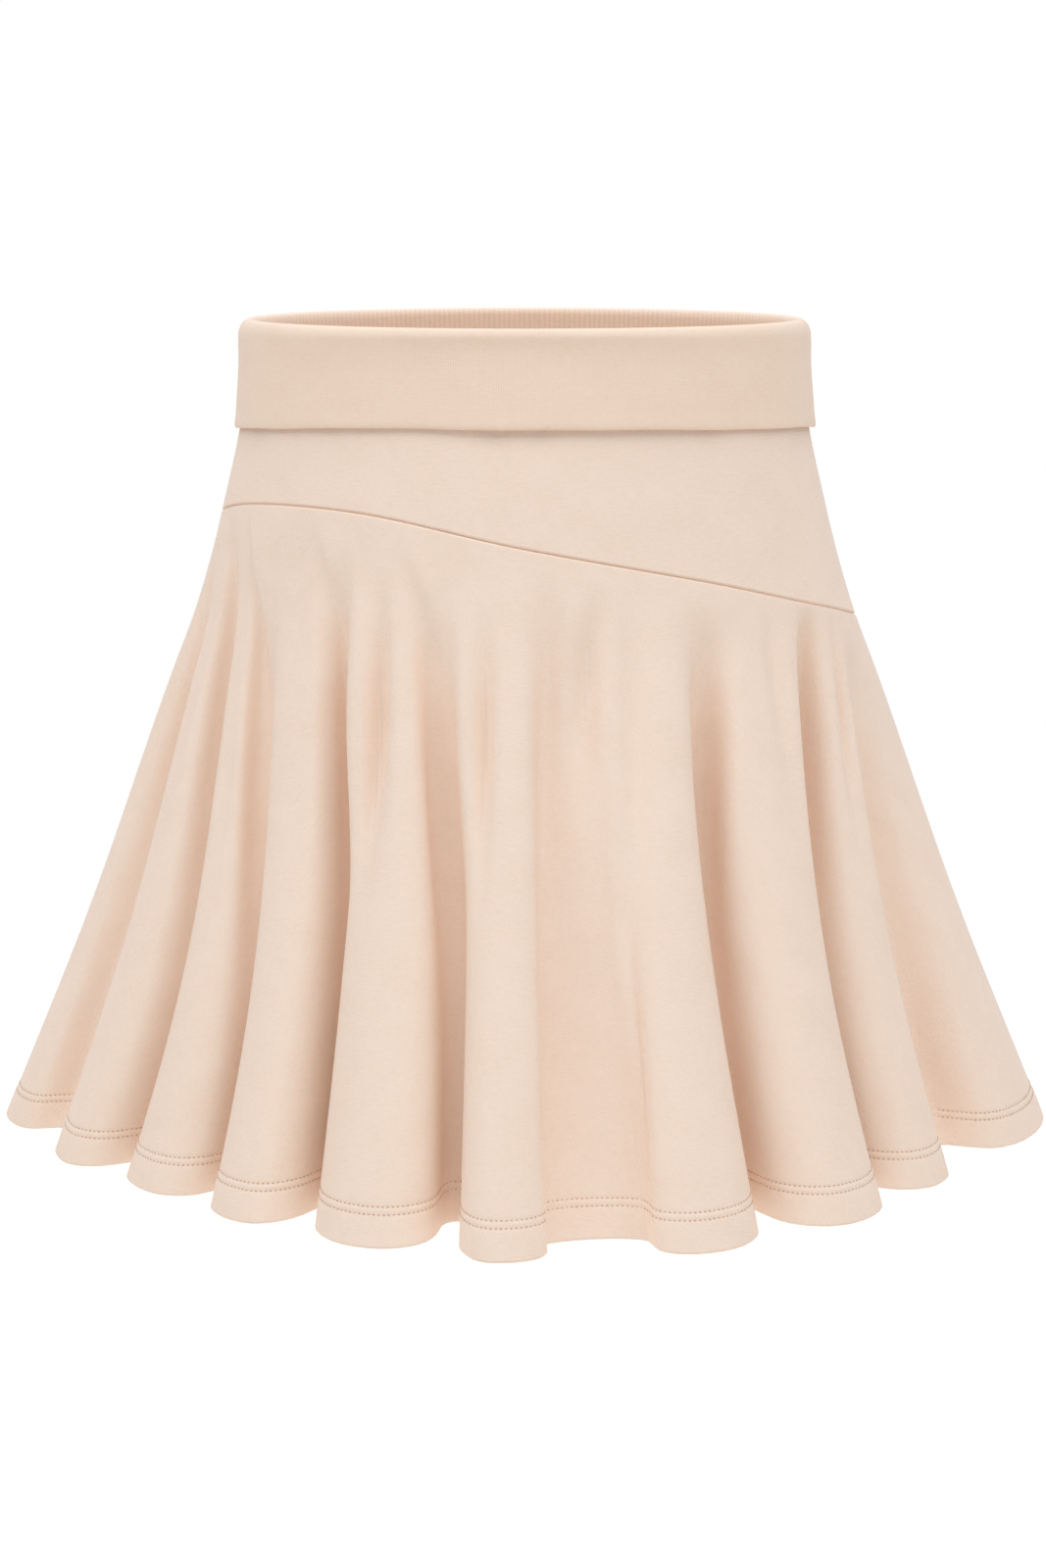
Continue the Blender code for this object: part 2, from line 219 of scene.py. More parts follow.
def fold_section(q, width, overhang, fall):
    """Half a fold seen from above, q going from its crest to its valley.

    It returns the share of the way across and the share of the way inward. High
    up it is a broad crest and a soft narrow valley. Towards the hem it becomes a
    round lobe, a flank that runs straight in or leans over, and a round valley.
    """
    lobe = np.pi / 2 * np.clip(q / LOBE_END, 0, 1)
    flank = np.clip((q - LOBE_END) / (FLANK_END - LOBE_END), 0, 1)
    valley = np.pi / 2 * np.clip((q - FLANK_END) / (1 - FLANK_END), 0, 1)
    inward = LOBE_DEPTH * (1 - np.cos(lobe)) + VALLEY_DEPTH * np.sin(valley)
    inward = inward + (1 - LOBE_DEPTH - VALLEY_DEPTH) * flank
    across = (1 - width) * np.sin(lobe) + width * (1 - np.cos(valley))
    leaning = np.clip((q - OVERHANG_START) / (1 - OVERHANG_START), 0, 1)
    across = across + overhang * np.sin(np.pi * leaning) ** 2
    soft = ((1 - np.cos(np.pi * q)) / 2) ** (TOP_SHARPNESS / width)
    formed = ease(np.clip((fall - FORMED_FROM) / (FORMED_AT - FORMED_FROM), 0, 1))
    return q + (across - q) * formed, soft + (inward - soft) * formed


widths = [row.width for row in FOLDS]
print("a valley takes %.2f to %.2f of its fold" % (min(widths), max(widths)))

# %% All the folds round the skirt
FOLD_GROWTH = 2.6
FOLD_ONSET = 0.035
FOLD_BOW = 4.0


def fold_state(place, fall):
    """The angle and the reach of the cloth at a place round the skirt.

    place counts crests: 0 is the first fold's crest, 0.5 its valley, 1 the
    next crest. fall is the share of the way from the hip seam to the hem.
    """
    count = len(FOLDS)
    turns = np.floor(place / count)
    inside = place - turns * count
    index = np.minimum(inside.astype(int), count - 1)
    along = inside - index

    def column(name, shift=0):
        after = index + shift
        values = np.array([getattr(row, name) for row in FOLDS], float)[after % count]
        if name in ("crest_top", "crest_hem"):
            values = values + 360.0 * (after // count)
        return values

    def crest(name):
        return np.where(along < 0.5, column(name), column(name, 1))

    q = np.where(along < 0.5, 2 * along, 2 - 2 * along)
    across, inward = fold_section(q, column("width"), column("overhang"), fall)
    top_spread = column("valley_top") - crest("crest_top")
    hem_spread = column("valley_hem") - crest("crest_hem")
    top = crest("crest_top") + top_spread * across + 360 * turns
    hem = crest("crest_hem") + hem_spread * across + 360 * turns
    angle = top + (hem - top) * fall
    bow = column("bow") * across - FOLD_BOW * np.sin(np.radians(2 * angle))
    angle = angle + bow * 4 * fall * (1 - fall)
    start = column("start") * inward
    formed = np.clip((fall - start) / (1 - start), 0, 1)
    grown = formed * (1 + FOLD_GROWTH) / (1 + FOLD_GROWTH * formed)
    grown = grown * formed * (1 + FOLD_ONSET) / (formed + FOLD_ONSET)
    reach = crest("crest_reach") + (column("valley_reach") - crest("crest_reach")) * inward
    return angle, 1 - (1 - reach) * grown


def seam_angle(place):
    """The angle at which a place round the skirt meets the hip seam."""
    angle, _ = fold_state(place, np.zeros(np.shape(place)))
    return angle


top_angles = seam_angle(np.array([0.0, FRONT_FOLDS]))
print("the front panel runs from %.0f to %.0f degrees" % tuple(top_angles))

# %% The folded surface
LAST_STRETCH = 0.1
FINE_STEP = 1e-4
THREAD_STEP = 5e-4
WIDE_STEP = 1e-3


def folded_point(place, fall):
    """A point on the outside of the flared panels, with their big folds."""
    place, fall = np.broadcast_arrays(np.asarray(place, float), np.asarray(fall, float))
    seam = hip_seam_z(seam_angle(place)) - SEAM_GAP
    angle, reach = fold_state(place, fall)
    return figure_ring(angle, seam + (HEM_Z - seam) * fall, reach)


def fall_length(place):
    """The length of cloth that one whole fall would have at the hem's rate."""
    end = folded_point(place, 1.0) - folded_point(place, 1 - LAST_STRETCH)
    return np.linalg.norm(end, axis=-1) / LAST_STRETCH


def outward(surface, across, down, step=FINE_STEP):
    """The outward unit normal of a surface function at a grid of places.

    It compares points a step to each side. A wide step passes over what is
    finer than itself.
    """
    along = surface(across + step, down) - surface(across - step, down)
    fall = surface(across, down + step) - surface(across, down - step)
    normal = np.cross(fall, along)
    return normal / np.linalg.norm(normal, axis=-1, keepdims=True)


middle_fall = float(fall_length(np.array(5.0)))
print("seam to hem in the middle of the front: about %.0f mm" % (1000 * middle_fall))

# %% [markdown]
# Small creases
#
# Between the big folds a hanging knit has shorter, shallower ones. They are
# listed one by one: each starts and ends at a place round the skirt and a share
# of the fall, and it is widest and deepest in its middle. A negative depth is
# a soft ridge.

# %% Table of small creases
Crease = namedtuple("Crease", "place_from fall_from place_to fall_to width depth")
CREASES = (
    Crease(0.42, 0.02, 0.52, 0.90, 0.0070, 0.0060),
    Crease(0.98, 0.14, 0.99, 0.60, 0.0060, 0.0014),
    Crease(1.38, -0.02, 1.43, 0.80, 0.0085, 0.0054),
    Crease(2.08, 0.22, 2.02, 0.70, 0.0060, 0.0012),
    Crease(2.40, 0.04, 2.34, 0.80, 0.0075, 0.0056),
    Crease(3.05, 0.25, 3.00, 0.72, 0.0070, 0.0010),
    Crease(3.50, 0.04, 3.40, 0.80, 0.0058, 0.0034),
    Crease(3.74, 0.04, 3.72, 0.56, 0.0070, -0.0038),
    Crease(4.00, 0.08, 3.82, 0.66, 0.0062, 0.0100),
    Crease(4.40, 0.06, 4.42, 0.80, 0.0072, 0.0066),
    Crease(4.72, 0.06, 4.70, 0.56, 0.0070, -0.0028),
    Crease(4.91, 0.08, 4.86, 0.60, 0.0058, 0.0076),
    Crease(5.33, 0.02, 5.40, 0.66, 0.0075, 0.0090),
    Crease(5.41, 0.34, 5.46, 1.14, 0.0090, 0.0062),
    Crease(5.66, 0.02, 5.44, 0.46, 0.0058, 0.0056),
    Crease(5.88, 0.02, 5.90, 0.66, 0.0070, 0.0052),
    Crease(5.83, 0.36, 5.70, 1.14, 0.0085, 0.0060),
    Crease(6.49, 0.01, 6.46, 0.78, 0.0080, 0.0084),
    Crease(6.70, 0.04, 6.68, 0.80, 0.0070, -0.0034),
    Crease(6.98, -0.02, 7.16, 0.44, 0.0055, 0.0036),
    Crease(7.47, -0.08, 7.60, 0.70, 0.0080, 0.0092),
    Crease(7.98, 0.00, 8.00, 0.50, 0.0065, 0.0056),
    Crease(8.46, 0.03, 8.66, 0.80, 0.0080, 0.0040),
    Crease(8.82, 0.04, 8.80, 0.64, 0.0070, 0.0028),
    Crease(9.47, 0.10, 9.50, 0.80, 0.0090, 0.0022),
    Crease(10.46, 0.00, 10.50, 0.76, 0.0080, 0.0044),
    Crease(10.96, 0.12, 11.03, 0.55, 0.0060, 0.0018),
    Crease(11.52, 0.05, 11.50, 0.80, 0.0085, 0.0038),
    Crease(12.10, 0.15, 12.04, 0.62, 0.0060, 0.0024),
    Crease(12.36, 0.10, 12.44, 0.80, 0.0100, 0.0034),
    Crease(13.02, 0.10, 12.93, 0.60, 0.0055, 0.0044),
    Crease(13.48, 0.00, 13.46, 0.78, 0.0080, 0.0048),
    Crease(14.16, 0.06, 14.24, 0.66, 0.0090, 0.0038),
    Crease(14.30, 0.40, 14.36, 1.10, 0.0100, 0.0040),
    Crease(14.80, 0.10, 14.72, 0.95, 0.0090, 0.0036),
    Crease(15.44, 0.02, 15.50, 0.80, 0.0080, 0.0046),
    Crease(16.06, 0.10, 15.98, 0.60, 0.0060, 0.0030),
    Crease(16.44, 0.03, 16.52, 0.80, 0.0085, 0.0040),
    Crease(17.08, 0.12, 17.02, 0.70, 0.0060, 0.0024),
    Crease(17.50, 0.10, 17.50, 0.85, 0.0090, 0.0026),
)
print("small creases:", len(CREASES))

# %% The creases' depth
PLACE_WIDTH = 0.075
CREASE_RISE = 0.8
SEAM_GRIP = 0.03


def creases_at(place, fall):
    """How far the small creases move the cloth in, in metres."""
    total = np.zeros(np.broadcast(place, fall).shape)
    for row in CREASES:
        share = (fall - row.fall_from) / (row.fall_to - row.fall_from)
        middle = row.place_from + (row.place_to - row.place_from) * share
        half = row.width / PLACE_WIDTH
        fade = np.sin(np.pi * np.clip(share, 0, 1) ** CREASE_RISE) ** 2
        total += row.depth * fade * np.exp(-(((place - middle) / half) ** 2))
    return total * (1 - np.exp(-((fall / SEAM_GRIP) ** 2)))


print("deepest crease: %.1f mm" % (1000 * max(row.depth for row in CREASES)))

# %% [markdown]
# Hem and seam
#
# The hem is turned up once and held by a twin needle: two rows of stitches a
# few millimetres apart, each pulled a little into the cloth, with a soft ridge
# between them. At the hip seam both edges turn inwards and leave a fine groove.

# %% The flare's finished surface
HEM_DEPTH = 0.0195
HEM_DOUBLE = 0.0026
HEM_STEP = 0.00025
STITCH_ROWS = (0.0172, 0.0138)
STITCH_SINK = 0.00028
STITCH_WIDTH = 0.0008
HEM_PUFF = 0.0004
PUFF_STEP = 0.0012
TWIN_PUFF = 0.0002
TWIN_WIDTH = 0.0010
PUCKER_SHARE = 0.25
PUCKERS_A_FOLD = 14
PUCKER_DRIFT = 31
SEAM_SINK = 0.0010
SEAM_WIDTH = 0.0004


def sewn_relief(place, fall):
    """How far sewing moves the cloth out, in metres."""
    length = fall_length(place)
    up = (1 - fall) * length
    down = fall * length
    rows = sum(np.exp(-(((up - row) / STITCH_WIDTH) ** 2)) for row in STITCH_ROWS)
    beat = np.sin(place * 2 * np.pi * PUCKERS_A_FOLD + 2 * np.sin(place * PUCKER_DRIFT))
    pucker = 1 - PUCKER_SHARE + PUCKER_SHARE * beat
    below = 1 / (1 + np.exp((up - STITCH_ROWS[1]) / PUFF_STEP))
    between = np.exp(-(((up - sum(STITCH_ROWS) / 2) / TWIN_WIDTH) ** 2))
    groove = SEAM_SINK * np.exp(-((down / SEAM_WIDTH) ** 2))
    return HEM_PUFF * below + TWIN_PUFF * between - STITCH_SINK * rows * pucker - groove


def hung_point(place, fall):
    """A point on the outside of the flare, with creases but before any sewing."""
    base = folded_point(place, fall)
    away = outward(folded_point, place, fall, WIDE_STEP)
    return base - away * creases_at(place, fall)[..., None]


def flare_point(place, fall):
    """A point on the outside of the flare, with creases and sewing."""
    base = folded_point(place, fall)
    move = sewn_relief(place, fall) - creases_at(place, fall)
    return base + outward(folded_point, place, fall, WIDE_STEP) * move[..., None]


rows_in_mm = tuple(1000 * row for row in STITCH_ROWS)
print("stitch rows above the hem: %.1f and %.1f mm" % rows_in_mm)

# %% [markdown]
# From a grid of points to a piece of cloth
#
# Every piece starts as two grids, its outside and its inside. They could be
# one sheet thickened by a modifier, but the hem and the waistband have walls of
# their own thickness. So a helper joins the two grids into one closed shell and
# rounds the edges. It also lays the flat cut of the cloth into a UV map in
# metres, so the knit pattern follows the thread lines and bends with the folds.

# %% Grids of points
def grid_faces(rows, columns, start, flip=False):
    """The faces between the points of a grid whose first point is start."""
    row, column = np.meshgrid(np.arange(rows - 1), np.arange(columns - 1), indexing="ij")
    a = start + row * columns + column
    quads = np.stack((a, a + columns, a + columns + 1, a + 1), axis=-1).reshape(-1, 4)
    return quads[:, ::-1] if flip else quads


def grid_rim(rows, columns):
    """The points round the edge of a grid, in order."""
    first_row = np.arange(columns)
    last_column = np.arange(1, rows) * columns + columns - 1
    last_row = (rows - 1) * columns + np.arange(columns - 2, -1, -1)
    first_column = np.arange(rows - 2, 0, -1) * columns
    return np.concatenate((first_row, last_column, last_row, first_column))


def arc_lengths(points):
    """Lengths along each row of a grid, from its first column."""
    steps = np.linalg.norm(np.diff(points, axis=1), axis=-1)
    return np.concatenate((np.zeros((len(points), 1)), np.cumsum(steps, axis=1)), axis=1)


def part_at_side_seams(grid):
    """Moves a grid's first and last columns in, half a seam gap each."""
    grid = grid.copy()
    for edge, inside in ((0, 1), (-1, -2)):
        inward = grid[:, inside] - grid[:, edge]
        inward = inward / np.linalg.norm(inward, axis=-1, keepdims=True)
        grid[:, edge] += inward * SEAM_GAP / 2
    return grid


print("a grid of 3 by 3 points has", len(grid_faces(3, 3, 0)), "faces")

# %% From two grids to a shell
EDGE_ROUNDNESS = 0.7


def cloth_piece(name, outside, inside, flat, materials, second_rows=0):
    """Joins an outside and an inside grid into one closed piece with a UV map.

    The second material goes on that many of the outside's first rows.
    """
    rows, columns = outside.shape[:2]
    count = rows * columns
    points = np.concatenate((outside.reshape(-1, 3), inside.reshape(-1, 3)))
    uv = np.concatenate((flat.reshape(-1, 2), flat.reshape(-1, 2)))
    rim = grid_rim(rows, columns)
    middle = (points[rim] + points[rim + count]) / 2
    around = np.roll(points[rim], -1, axis=0) - np.roll(points[rim], 1, axis=0)
    through = points[rim + count] - points[rim]
    edge_out = np.cross(around, through)
    edge_out /= np.linalg.norm(edge_out, axis=1, keepdims=True)
    half = np.linalg.norm(through, axis=1, keepdims=True) / 2
    points = np.concatenate((points, middle + edge_out * half * EDGE_ROUNDNESS))
    uv = np.concatenate((uv, uv[rim]))
    soft = 2 * count + np.arange(len(rim))
    after = np.roll(rim, -1)
    soft_after = np.roll(soft, -1)
    edge_a = np.stack((rim, after, soft_after, soft), axis=1)
    edge_b = np.stack((soft, soft_after, after + count, rim + count), axis=1)
    outer_faces = grid_faces(rows, columns, 0)
    inner_faces = grid_faces(rows, columns, count, flip=True)
    faces = np.concatenate((outer_faces, inner_faces, edge_a, edge_b))
    mesh = bpy.data.meshes.new(name)
    mesh.from_pydata(points.tolist(), [], faces.tolist())
    for material in materials:
        mesh.materials.append(material)
    slots = np.zeros(len(faces), int)
    slots[:second_rows * (columns - 1)] = 1
    mesh.polygons.foreach_set("material_index", slots)
    layer = mesh.uv_layers.new(name="cloth")
    corners = np.empty(len(mesh.loops), int)
    mesh.loops.foreach_get("vertex_index", corners)
    layer.data.foreach_set("uv", uv[corners].ravel())
    mesh.shade_smooth()
    mesh.update()
    piece = bpy.data.objects.new(name, mesh)
    bpy.context.collection.objects.link(piece)
    return piece


print("edges stand out by %.1f of half the wall" % EDGE_ROUNDNESS)


# %% From a shell to a dressed solid
def dress(piece, node):
    """Puts a finished cloth piece in the frame, in place of its solid."""
    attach(piece, "root")
    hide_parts(node)
    print(piece.name, "faces:", len(piece.data.polygons))


print("solids to dress:", len(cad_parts))

# %% [markdown]
# Jersey
#
# Jersey is a fine knit: columns of tiny stitches run up the cloth, about a
# millimetre apart. The yarn is uneven, so short paler and darker streaks lie
# across it. It is matt, with a faint sheen where it turns away. A picture of
# knitting could be laid on it, but a pattern worked out by nodes stays sharp
# from near. All of it reads the UV map of the flat cut.

# %% Colours of the yarn, and painted shade
CLOTH_COLOUR = (0.910, 0.700, 0.550, 1.0)
PALE_YARN = (0.945, 0.750, 0.605, 1.0)
DARK_YARN = (0.860, 0.635, 0.480, 1.0)
# Painted shade: the darker colour laid in the grooves between the waistband's inner ribs.
GROOVE_PAINTED_SHADE = (0.800, 0.590, 0.440, 1.0)
# Painted shade: the waistband's copy of the jersey is darker and warmer, standing in for the
# band getting less light from above.
BAND_PAINTED_SHADE = (0.985, 0.960, 0.930)
SHEEN_TINT = (1.0, 0.93, 0.87, 1.0)
SHINE = 0.25
SHEEN = 0.22
SHEEN_ROUGHNESS = 0.45
SMOOTHEST = 0.80
ROUGHEST = 0.95

Streaks = namedtuple("Streaks", "scale detail rough colour height")
SLUB = Streaks((240, 1100, 1), 2.0, 0.55, 0.42, 0.9)
HEATHER = Streaks((560, 800, 1), 3.0, 0.70, 0.30, 0.5)
CLOUD = Streaks((38, 55, 1), 2.0, 0.55, 0.28, 0.0)
DARK_END = 0.22
PALE_END = 0.80
print("cloth colour:", CLOTH_COLOUR[:3])

# %% Sizes of the knit
WALE_PITCH = 0.00105
COURSE_PITCH = 0.00080
CHEVRON = 1.6
COURSE_SHARE = 0.30
KNIT_HEIGHT = 0.5
RIB_PITCH = 0.0025
RIB_ROUNDNESS = 0.45
RIB_HEIGHT = 2.5
BUMP_STRENGTH = 0.35
BUMP_DISTANCE = 0.00022
print("knit columns every %.2f mm" % (1000 * WALE_PITCH))


# %% Helpers for node trees
def link_chain(tree, *pairs):
    for source, target in pairs:
        tree.links.new(source, target)


def math_node(tree, kind, first, second=None):
    """Adds a Math node; each input is a number or another node's output."""
    node = tree.nodes.new("ShaderNodeMath")
    node.operation = kind
    for socket, value in zip(node.inputs, (first, second)):
        if value is None:
            continue
        if isinstance(value, (int, float)):
            socket.default_value = value
        else:
            tree.links.new(value, socket)
    return node.outputs["Value"]


def weighted_sum(tree, *parts):
    """Adds up outputs, each times its weight."""
    total = None
    for output, weight in parts:
        part = math_node(tree, "MULTIPLY", output, weight)
        total = part if total is None else math_node(tree, "ADD", total, part)
    return total


def streaks(tree, flat, kind):
    """Noise drawn out along one direction of the flat cut."""
    mapping = tree.nodes.new("ShaderNodeMapping")
    mapping.inputs["Scale"].default_value = kind.scale
    noise = tree.nodes.new("ShaderNodeTexNoise")
    noise.inputs["Scale"].default_value = 1.0
    noise.inputs["Detail"].default_value = kind.detail
    noise.inputs["Roughness"].default_value = kind.rough
    tree.links.new(flat, mapping.inputs["Vector"])
    tree.links.new(mapping.outputs["Vector"], noise.inputs["Vector"])
    return noise.outputs["Fac"]


print("kinds of streaks:", len((SLUB, HEATHER, CLOUD)))


# %% Parts of the jersey
def yarn_colour(tree, mix, painted_shade_tint):
    """A ramp from dark yarn over the cloth's colour to pale yarn."""
    ramp = tree.nodes.new("ShaderNodeValToRGB")
    stops = ramp.color_ramp.elements
    stops[0].position = DARK_END
    stops[1].position = PALE_END
    stops.new(0.5)
    for stop, shade in zip(stops, (DARK_YARN, CLOTH_COLOUR, PALE_YARN)):
        # Each stop's colour is multiplied by this factor, which is painted shade on the
        # waistband.
        stop.color = (*(c * t for c, t in zip(shade, painted_shade_tint)), 1.0)
    tree.links.new(mix, ramp.inputs["Fac"])
    return ramp.outputs["Color"]


def knit_stitches(tree, across, down):
    """Upright columns of stitches, each crossed by small chevrons."""
    turn = math_node(tree, "MULTIPLY", across, math.pi / WALE_PITCH)
    wale = math_node(tree, "ABSOLUTE", math_node(tree, "SINE", turn))
    chevron = math_node(tree, "MULTIPLY", wale, CHEVRON)
    turn = math_node(tree, "MULTIPLY", down, 2 * math.pi / COURSE_PITCH)
    course = math_node(tree, "SINE", math_node(tree, "ADD", turn, chevron))
    return math_node(tree, "ADD", wale, math_node(tree, "MULTIPLY", course, COURSE_SHARE))


def upright_ribs(tree, across, pitch):
    """Round ribs with narrow grooves: 1 on top of a rib, 0 in a groove."""
    turn = math_node(tree, "MULTIPLY", across, math.pi / pitch)
    wave = math_node(tree, "ABSOLUTE", math_node(tree, "SINE", turn))
    return math_node(tree, "POWER", wave, RIB_ROUNDNESS)


# Painted shade: where a rib dips into a groove, its colour turns to the darker groove
# colour.
def painted_groove_shade(tree, rib, colour):
    shade = tree.nodes.new("ShaderNodeMix")
    shade.data_type = "RGBA"
    shade.inputs["A"].default_value = GROOVE_PAINTED_SHADE
    tree.links.new(rib, shade.inputs["Factor"])
    tree.links.new(colour, shade.inputs["B"])
    return shade.outputs["Result"]


print("ribs every %.1f mm inside the waistband" % (1000 * RIB_PITCH))


# %% Jersey material
def jersey_material(name, painted_shade_tint=(1.0, 1.0, 1.0), rib_pitch=None):
    """Knitted jersey; rib_pitch adds upright ribs for the waistband's inside."""
    material = bpy.data.materials.new(name)
    material.use_nodes = True
    tree = material.node_tree
    shader = tree.nodes["Principled BSDF"]
    shader.inputs["Specular IOR Level"].default_value = SHINE
    shader.inputs["Sheen Weight"].default_value = SHEEN
    shader.inputs["Sheen Roughness"].default_value = SHEEN_ROUGHNESS
    shader.inputs["Sheen Tint"].default_value = SHEEN_TINT

    uv_map = tree.nodes.new("ShaderNodeUVMap")
    uv_map.uv_map = "cloth"
    flat = uv_map.outputs["UV"]
    split = tree.nodes.new("ShaderNodeSeparateXYZ")
    tree.links.new(flat, split.inputs["Vector"])
    across = split.outputs["X"]
    slub, heather, cloud = (streaks(tree, flat, kind) for kind in (SLUB, HEATHER, CLOUD))

    mix = weighted_sum(
        tree, (slub, SLUB.colour), (heather, HEATHER.colour), (cloud, CLOUD.colour)
    )
    colour = yarn_colour(tree, mix, painted_shade_tint)
    knit = knit_stitches(tree, across, split.outputs["Y"])
    height = weighted_sum(
        tree, (knit, KNIT_HEIGHT), (slub, SLUB.height), (heather, HEATHER.height)
    )
    if rib_pitch:
        rib = upright_ribs(tree, across, rib_pitch)
        height = math_node(tree, "ADD", height, math_node(tree, "MULTIPLY", rib, RIB_HEIGHT))
        # Painted shade in the grooves between the ribs.
        colour = painted_groove_shade(tree, rib, colour)

    bump = tree.nodes.new("ShaderNodeBump")
    bump.inputs["Strength"].default_value = BUMP_STRENGTH
    bump.inputs["Distance"].default_value = BUMP_DISTANCE
    rough = tree.nodes.new("ShaderNodeMapRange")
    rough.inputs["To Min"].default_value = SMOOTHEST
    rough.inputs["To Max"].default_value = ROUGHEST
    link_chain(
        tree,
        (colour, shader.inputs["Base Color"]),
        (height, bump.inputs["Height"]),
        (bump.outputs["Normal"], shader.inputs["Normal"]),
        (heather, rough.inputs["Value"]),
        (rough.outputs["Result"], shader.inputs["Roughness"]),
    )
    return material


jersey = jersey_material("jersey")
# Both waistband materials are darkened as painted shade.
band_jersey = jersey_material("band_jersey", BAND_PAINTED_SHADE)
band_inside = jersey_material("band_inside", BAND_PAINTED_SHADE, RIB_PITCH)
print("materials:", jersey.name, band_jersey.name, band_inside.name)

# %% [markdown]
# The flared panels
#
# Rows of points lie closest together at the seam and at the hem, where the
# sewing is. Above the seam a few more rows make the seam allowance, turned up
# behind the yoke, which closes the seam from behind. The panel is cut as a fan,
# so each row's length is laid out as an arc whose radius grows towards the hem.
# That gives the thread lines the slant that they have on a real circular cut.

# %% Rows of the flared panels
ALLOWANCE_ROWS = (0.0060, 0.0040, 0.0022, 0.0012, 0.0007)
ALLOWANCE_GAP = 0.0002
TOP_ROWS = (0.0, 0.0003, 0.0006, 0.0009, 0.0013, 0.0020, 0.0040, 0.0080)
HEM_ROWS = (
    0.0290, 0.0250, 0.0222, 0.0205, 0.0198, 0.0192, 0.0183, 0.0177, 0.0172, 0.0167,
    0.0161, 0.0155, 0.0149, 0.0143, 0.0138, 0.0133, 0.0127, 0.0115, 0.0095, 0.0070,
    0.0048, 0.0028, 0.0013, 0.0004, 0.0,
)
MIDDLE_ROWS = 48


def falls_for(lengths):
    """The fall of each row, one column of shares for each panel column."""
    rows = [np.asarray(d) / lengths for d in TOP_ROWS]
    first = TOP_ROWS[-1] / lengths
    last = 1 - HEM_ROWS[0] / lengths
    for step in range(1, MIDDLE_ROWS):
        rows.append(first + (last - first) * step / MIDDLE_ROWS)
    rows += [1 - np.asarray(d) / lengths for d in HEM_ROWS]
    return np.stack(rows)


print("rows down a flared panel:", len(TOP_ROWS) + MIDDLE_ROWS - 1 + len(HEM_ROWS))

# %% Seam allowance behind the yoke
TURN_STEP = 0.5
DROP_STEP = 0.001


def allowance(places):
    """The seam allowance's outside and inside, a few rows up behind the yoke."""
    angles = seam_angle(places)
    seam = hip_seam_z(angles)
    outside = []
    inside = []
    for height in ALLOWANCE_ROWS:
        ring = figure_ring(angles, seam + height)
        side = figure_ring(angles + TURN_STEP, seam + height)
        lower = figure_ring(angles, seam + height - DROP_STEP)
        out = np.cross(lower - ring, side - ring)
        out = out / np.linalg.norm(out, axis=-1, keepdims=True)
        depth = JERSEY + ALLOWANCE_GAP + SEAM_SINK * math.exp(-((height / SEAM_WIDTH) ** 2))
        outside.append(ring - out * depth)
        inside.append(ring - out * (depth + JERSEY))
    return np.stack(outside), np.stack(inside)


print("seam allowance: %.0f mm" % (1000 * ALLOWANCE_ROWS[0]))

# %% Flared panels
COLUMNS_PER_FOLD = 30
FAN_HEM_RADIUS = 0.52


def flare_panel(name, first, last):
    places = np.linspace(first, last, (last - first) * COLUMNS_PER_FOLD + 1)
    lengths = fall_length(places)
    falls = falls_for(lengths)
    turned_out, turned_in = allowance(places)
    places = np.broadcast_to(places, falls.shape)
    outside = flare_point(places, falls)
    up = (1 - falls) * lengths
    doubled = (1 - np.tanh((up - HEM_DEPTH) / (2 * HEM_STEP))) / 2
    thickness = JERSEY + (HEM_DOUBLE - JERSEY) * doubled
    inside = outside - outward(hung_point, places, falls) * thickness[..., None]
    inside[0] = inside[1]
    outside = np.concatenate((turned_out, outside))
    inside = np.concatenate((turned_in, inside))
    up = np.concatenate(([lengths + height for height in ALLOWANCE_ROWS], up))
    outside = part_at_side_seams(outside)
    inside = part_at_side_seams(inside)
    arc = arc_lengths(outside)
    arc = arc - arc[:, arc.shape[1] // 2][:, None]
    radius = FAN_HEM_RADIUS - up
    turn = arc / radius
    flat = np.stack((radius * np.sin(turn), -radius * np.cos(turn)), axis=-1)
    piece = cloth_piece(name, outside, inside, flat, [jersey])
    size = np.ptp(flat.reshape(-1, 2), axis=0)
    area = float(np.ptp(arc, axis=1).mean() * up[0].mean())
    print("%s: hem %.3f m, seam %.3f m" % (name, np.ptp(arc[-1]), np.ptp(arc[0])))
    return piece, tuple(size), area


flare_pieces = {}
for side, first, last in (("front", 0, FRONT_FOLDS), ("back", FRONT_FOLDS, len(FOLDS))):
    flare_pieces[side] = flare_panel(f"flare_{side}_cloth", first, last)

# %% [markdown]
# The yoke
#
# The yoke is smooth and close, with a few faint upright ripples where the
# waistband grips it. Its upper edge goes up behind the waistband's flap, and
# its lower edge rolls into the hip seam.

# %% Surface of the yoke
Ripple = namedtuple("Ripple", "angle width depth reach")
YOKE_RIPPLES = (
    Ripple(-66, 4.0, 0.0006, 0.55),
    Ripple(-41, 3.0, 0.0004, 0.40),
    Ripple(-6, 3.5, 0.0006, 0.60),
    Ripple(3, 2.5, 0.0005, 0.45),
    Ripple(38, 3.0, 0.0004, 0.50),
    Ripple(71, 4.0, 0.0006, 0.60),
    Ripple(112, 3.5, 0.0005, 0.50),
    Ripple(158, 3.0, 0.0006, 0.45),
    Ripple(186, 4.0, 0.0005, 0.60),
    Ripple(231, 3.5, 0.0006, 0.50),
)


def yoke_base(angle, fall):
    top = RIM_Z - WAIST_SEAM_DROP - SEAM_GAP
    return figure_ring(angle, top + (hip_seam_z(angle) - top) * fall)


